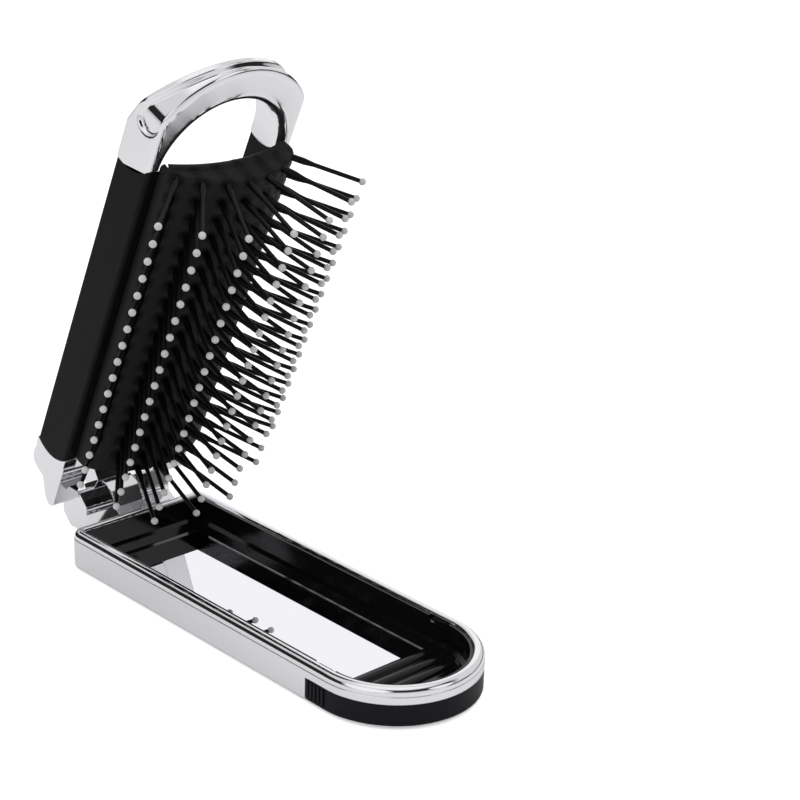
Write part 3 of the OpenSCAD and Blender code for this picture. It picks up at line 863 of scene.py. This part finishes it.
# White cards: direction, and the cosines between which each fades out.
CARDS = (
    ((-0.69, 0.63, 0.36), (0.90, 0.96)),
    ((0.78, 0.33, 0.52), (0.955, 0.975)),
    ((0.20, -0.86, 0.46), (0.84, 0.92)),
)


def ease(tree, value, low, high):
    """0 below low, 1 above high, and smooth between."""
    span = tree.nodes.new("ShaderNodeMapRange")
    span.interpolation_type = "SMOOTHSTEP"
    for socket, edge in (("From Min", low), ("From Max", high)):
        if isinstance(edge, (int, float)):
            span.inputs[socket].default_value = edge
        else:
            tree.links.new(edge, span.inputs[socket])
    tree.links.new(value, span.inputs["Value"])
    return span.outputs["Result"]


def toward(tree, parts, way):
    """How far a direction points the way named, from -1 to 1."""
    total = 0.0
    for part, share in zip(parts, Vector(way).normalized()):
        total = plus(tree, times(tree, part, share), total)
    return total


def tent_brightness(tree, parts):
    """Brightness of the tent in a direction, from its dark gap and band up to its roof."""
    x, y, z = parts
    rise = ease(tree, toward(tree, parts, GAP_SIDE), *GAP_SIDE_EDGES)
    gap = plus(tree, GAP, times(tree, rise, GAP_RISE))
    tip_side = ease(tree, x, *GAP_ENDS)
    far_side = times(tree, tip_side, ease(tree, y, *GAP_FAR))
    gap = plus(tree, gap, times(tree, far_side, GAP_FAR_RISE))
    closed = minus(tree, tip_side, far_side)
    above = larger(tree, ease(tree, z, gap, plus(tree, gap, GAP_SOFT)), closed)
    band = minus(tree, ease(tree, z, *BAND_LOW), ease(tree, z, *BAND_HIGH))
    band = times(tree, band, ease(tree, x, *BAND_SIDE))
    band = times(tree, band, minus(tree, 1.0, ease(tree, y, *BAND_ENDS)))
    above = times(tree, above, minus(tree, 1.0, band))
    bright = plus(tree, times(tree, ease(tree, z, *ROOF), 1 - WALL), WALL)
    tent = plus(tree, DARK, times(tree, above, bright))
    for way, fade in CARDS:
        tent = larger(tree, tent, ease(tree, toward(tree, parts, way), *fade))
    return smaller(tree, tent, 1.0)


def studio_world():
    """White to the camera, a tent to glossy faces and plain soft light to the rest."""
    world = bpy.data.worlds.new("studio")
    world.use_nodes = True
    tree = world.node_tree
    soft = tree.nodes["Background"]
    soft.inputs["Color"].default_value = (1, 1, 1, 1)
    soft.inputs["Strength"].default_value = AMBIENT
    sky = tree.nodes.new("ShaderNodeTexCoord")
    parts = tree.nodes.new("ShaderNodeSeparateXYZ")
    tree.links.new(sky.outputs["Generated"], parts.inputs["Vector"])
    tent = tent_brightness(tree, parts.outputs)
    path = tree.nodes.new("ShaderNodeLightPath").outputs
    shown = tree.nodes.new("ShaderNodeBackground")
    shown.inputs["Color"].default_value = (1, 1, 1, 1)
    tree.links.new(larger(tree, path["Is Camera Ray"], tent), shown.inputs["Strength"])
    eye = larger(tree, path["Is Camera Ray"], path["Is Glossy Ray"])
    eye = larger(tree, eye, path["Is Transmission Ray"])
    mix = tree.nodes.new("ShaderNodeMixShader")
    tree.links.new(eye, mix.inputs["Fac"])
    tree.links.new(soft.outputs[0], mix.inputs[1])
    tree.links.new(shown.outputs[0], mix.inputs[2])
    tree.links.new(mix.outputs[0], tree.nodes["World Output"].inputs["Surface"])
    bpy.context.scene.world = world


studio_world()
bpy.context.scene.view_settings.view_transform = "Standard"

# ---------------------------------------------------------------- camera

# Where the camera stands, in metres, and the directions of its right, down and forward axes.
CAMERA_PLACE = (0.3581169, -0.3042728, 0.2422831)
CAMERA_RIGHT = (0.6810213, 0.7316944, 0.0288660)
CAMERA_DOWN = (0.2839776, -0.2275650, -0.9314349)
CAMERA_FORWARD = (-0.6749569, 0.6425243, -0.3627614)
CAMERA_SENSOR = 36.0           # width, in millimetres
CAMERA_NEAR = 0.01
FOCAL_PIXELS = 2158.6
FRAME_PIXELS = 800


def place_camera():
    data = bpy.data.cameras.new("studio_camera")
    data.sensor_width = CAMERA_SENSOR
    data.lens = CAMERA_SENSOR * FOCAL_PIXELS / FRAME_PIXELS
    data.clip_start = CAMERA_NEAR
    cam = bpy.data.objects.new("studio_camera", data)
    bpy.context.scene.collection.objects.link(cam)
    right, down, forward = (Vector(v) for v in (CAMERA_RIGHT, CAMERA_DOWN, CAMERA_FORWARD))
    turn = Matrix((right, -down, -forward)).transposed().to_4x4()
    cam.matrix_world = Matrix.Translation(CAMERA_PLACE) @ turn
    bpy.context.scene.camera = cam


place_camera()
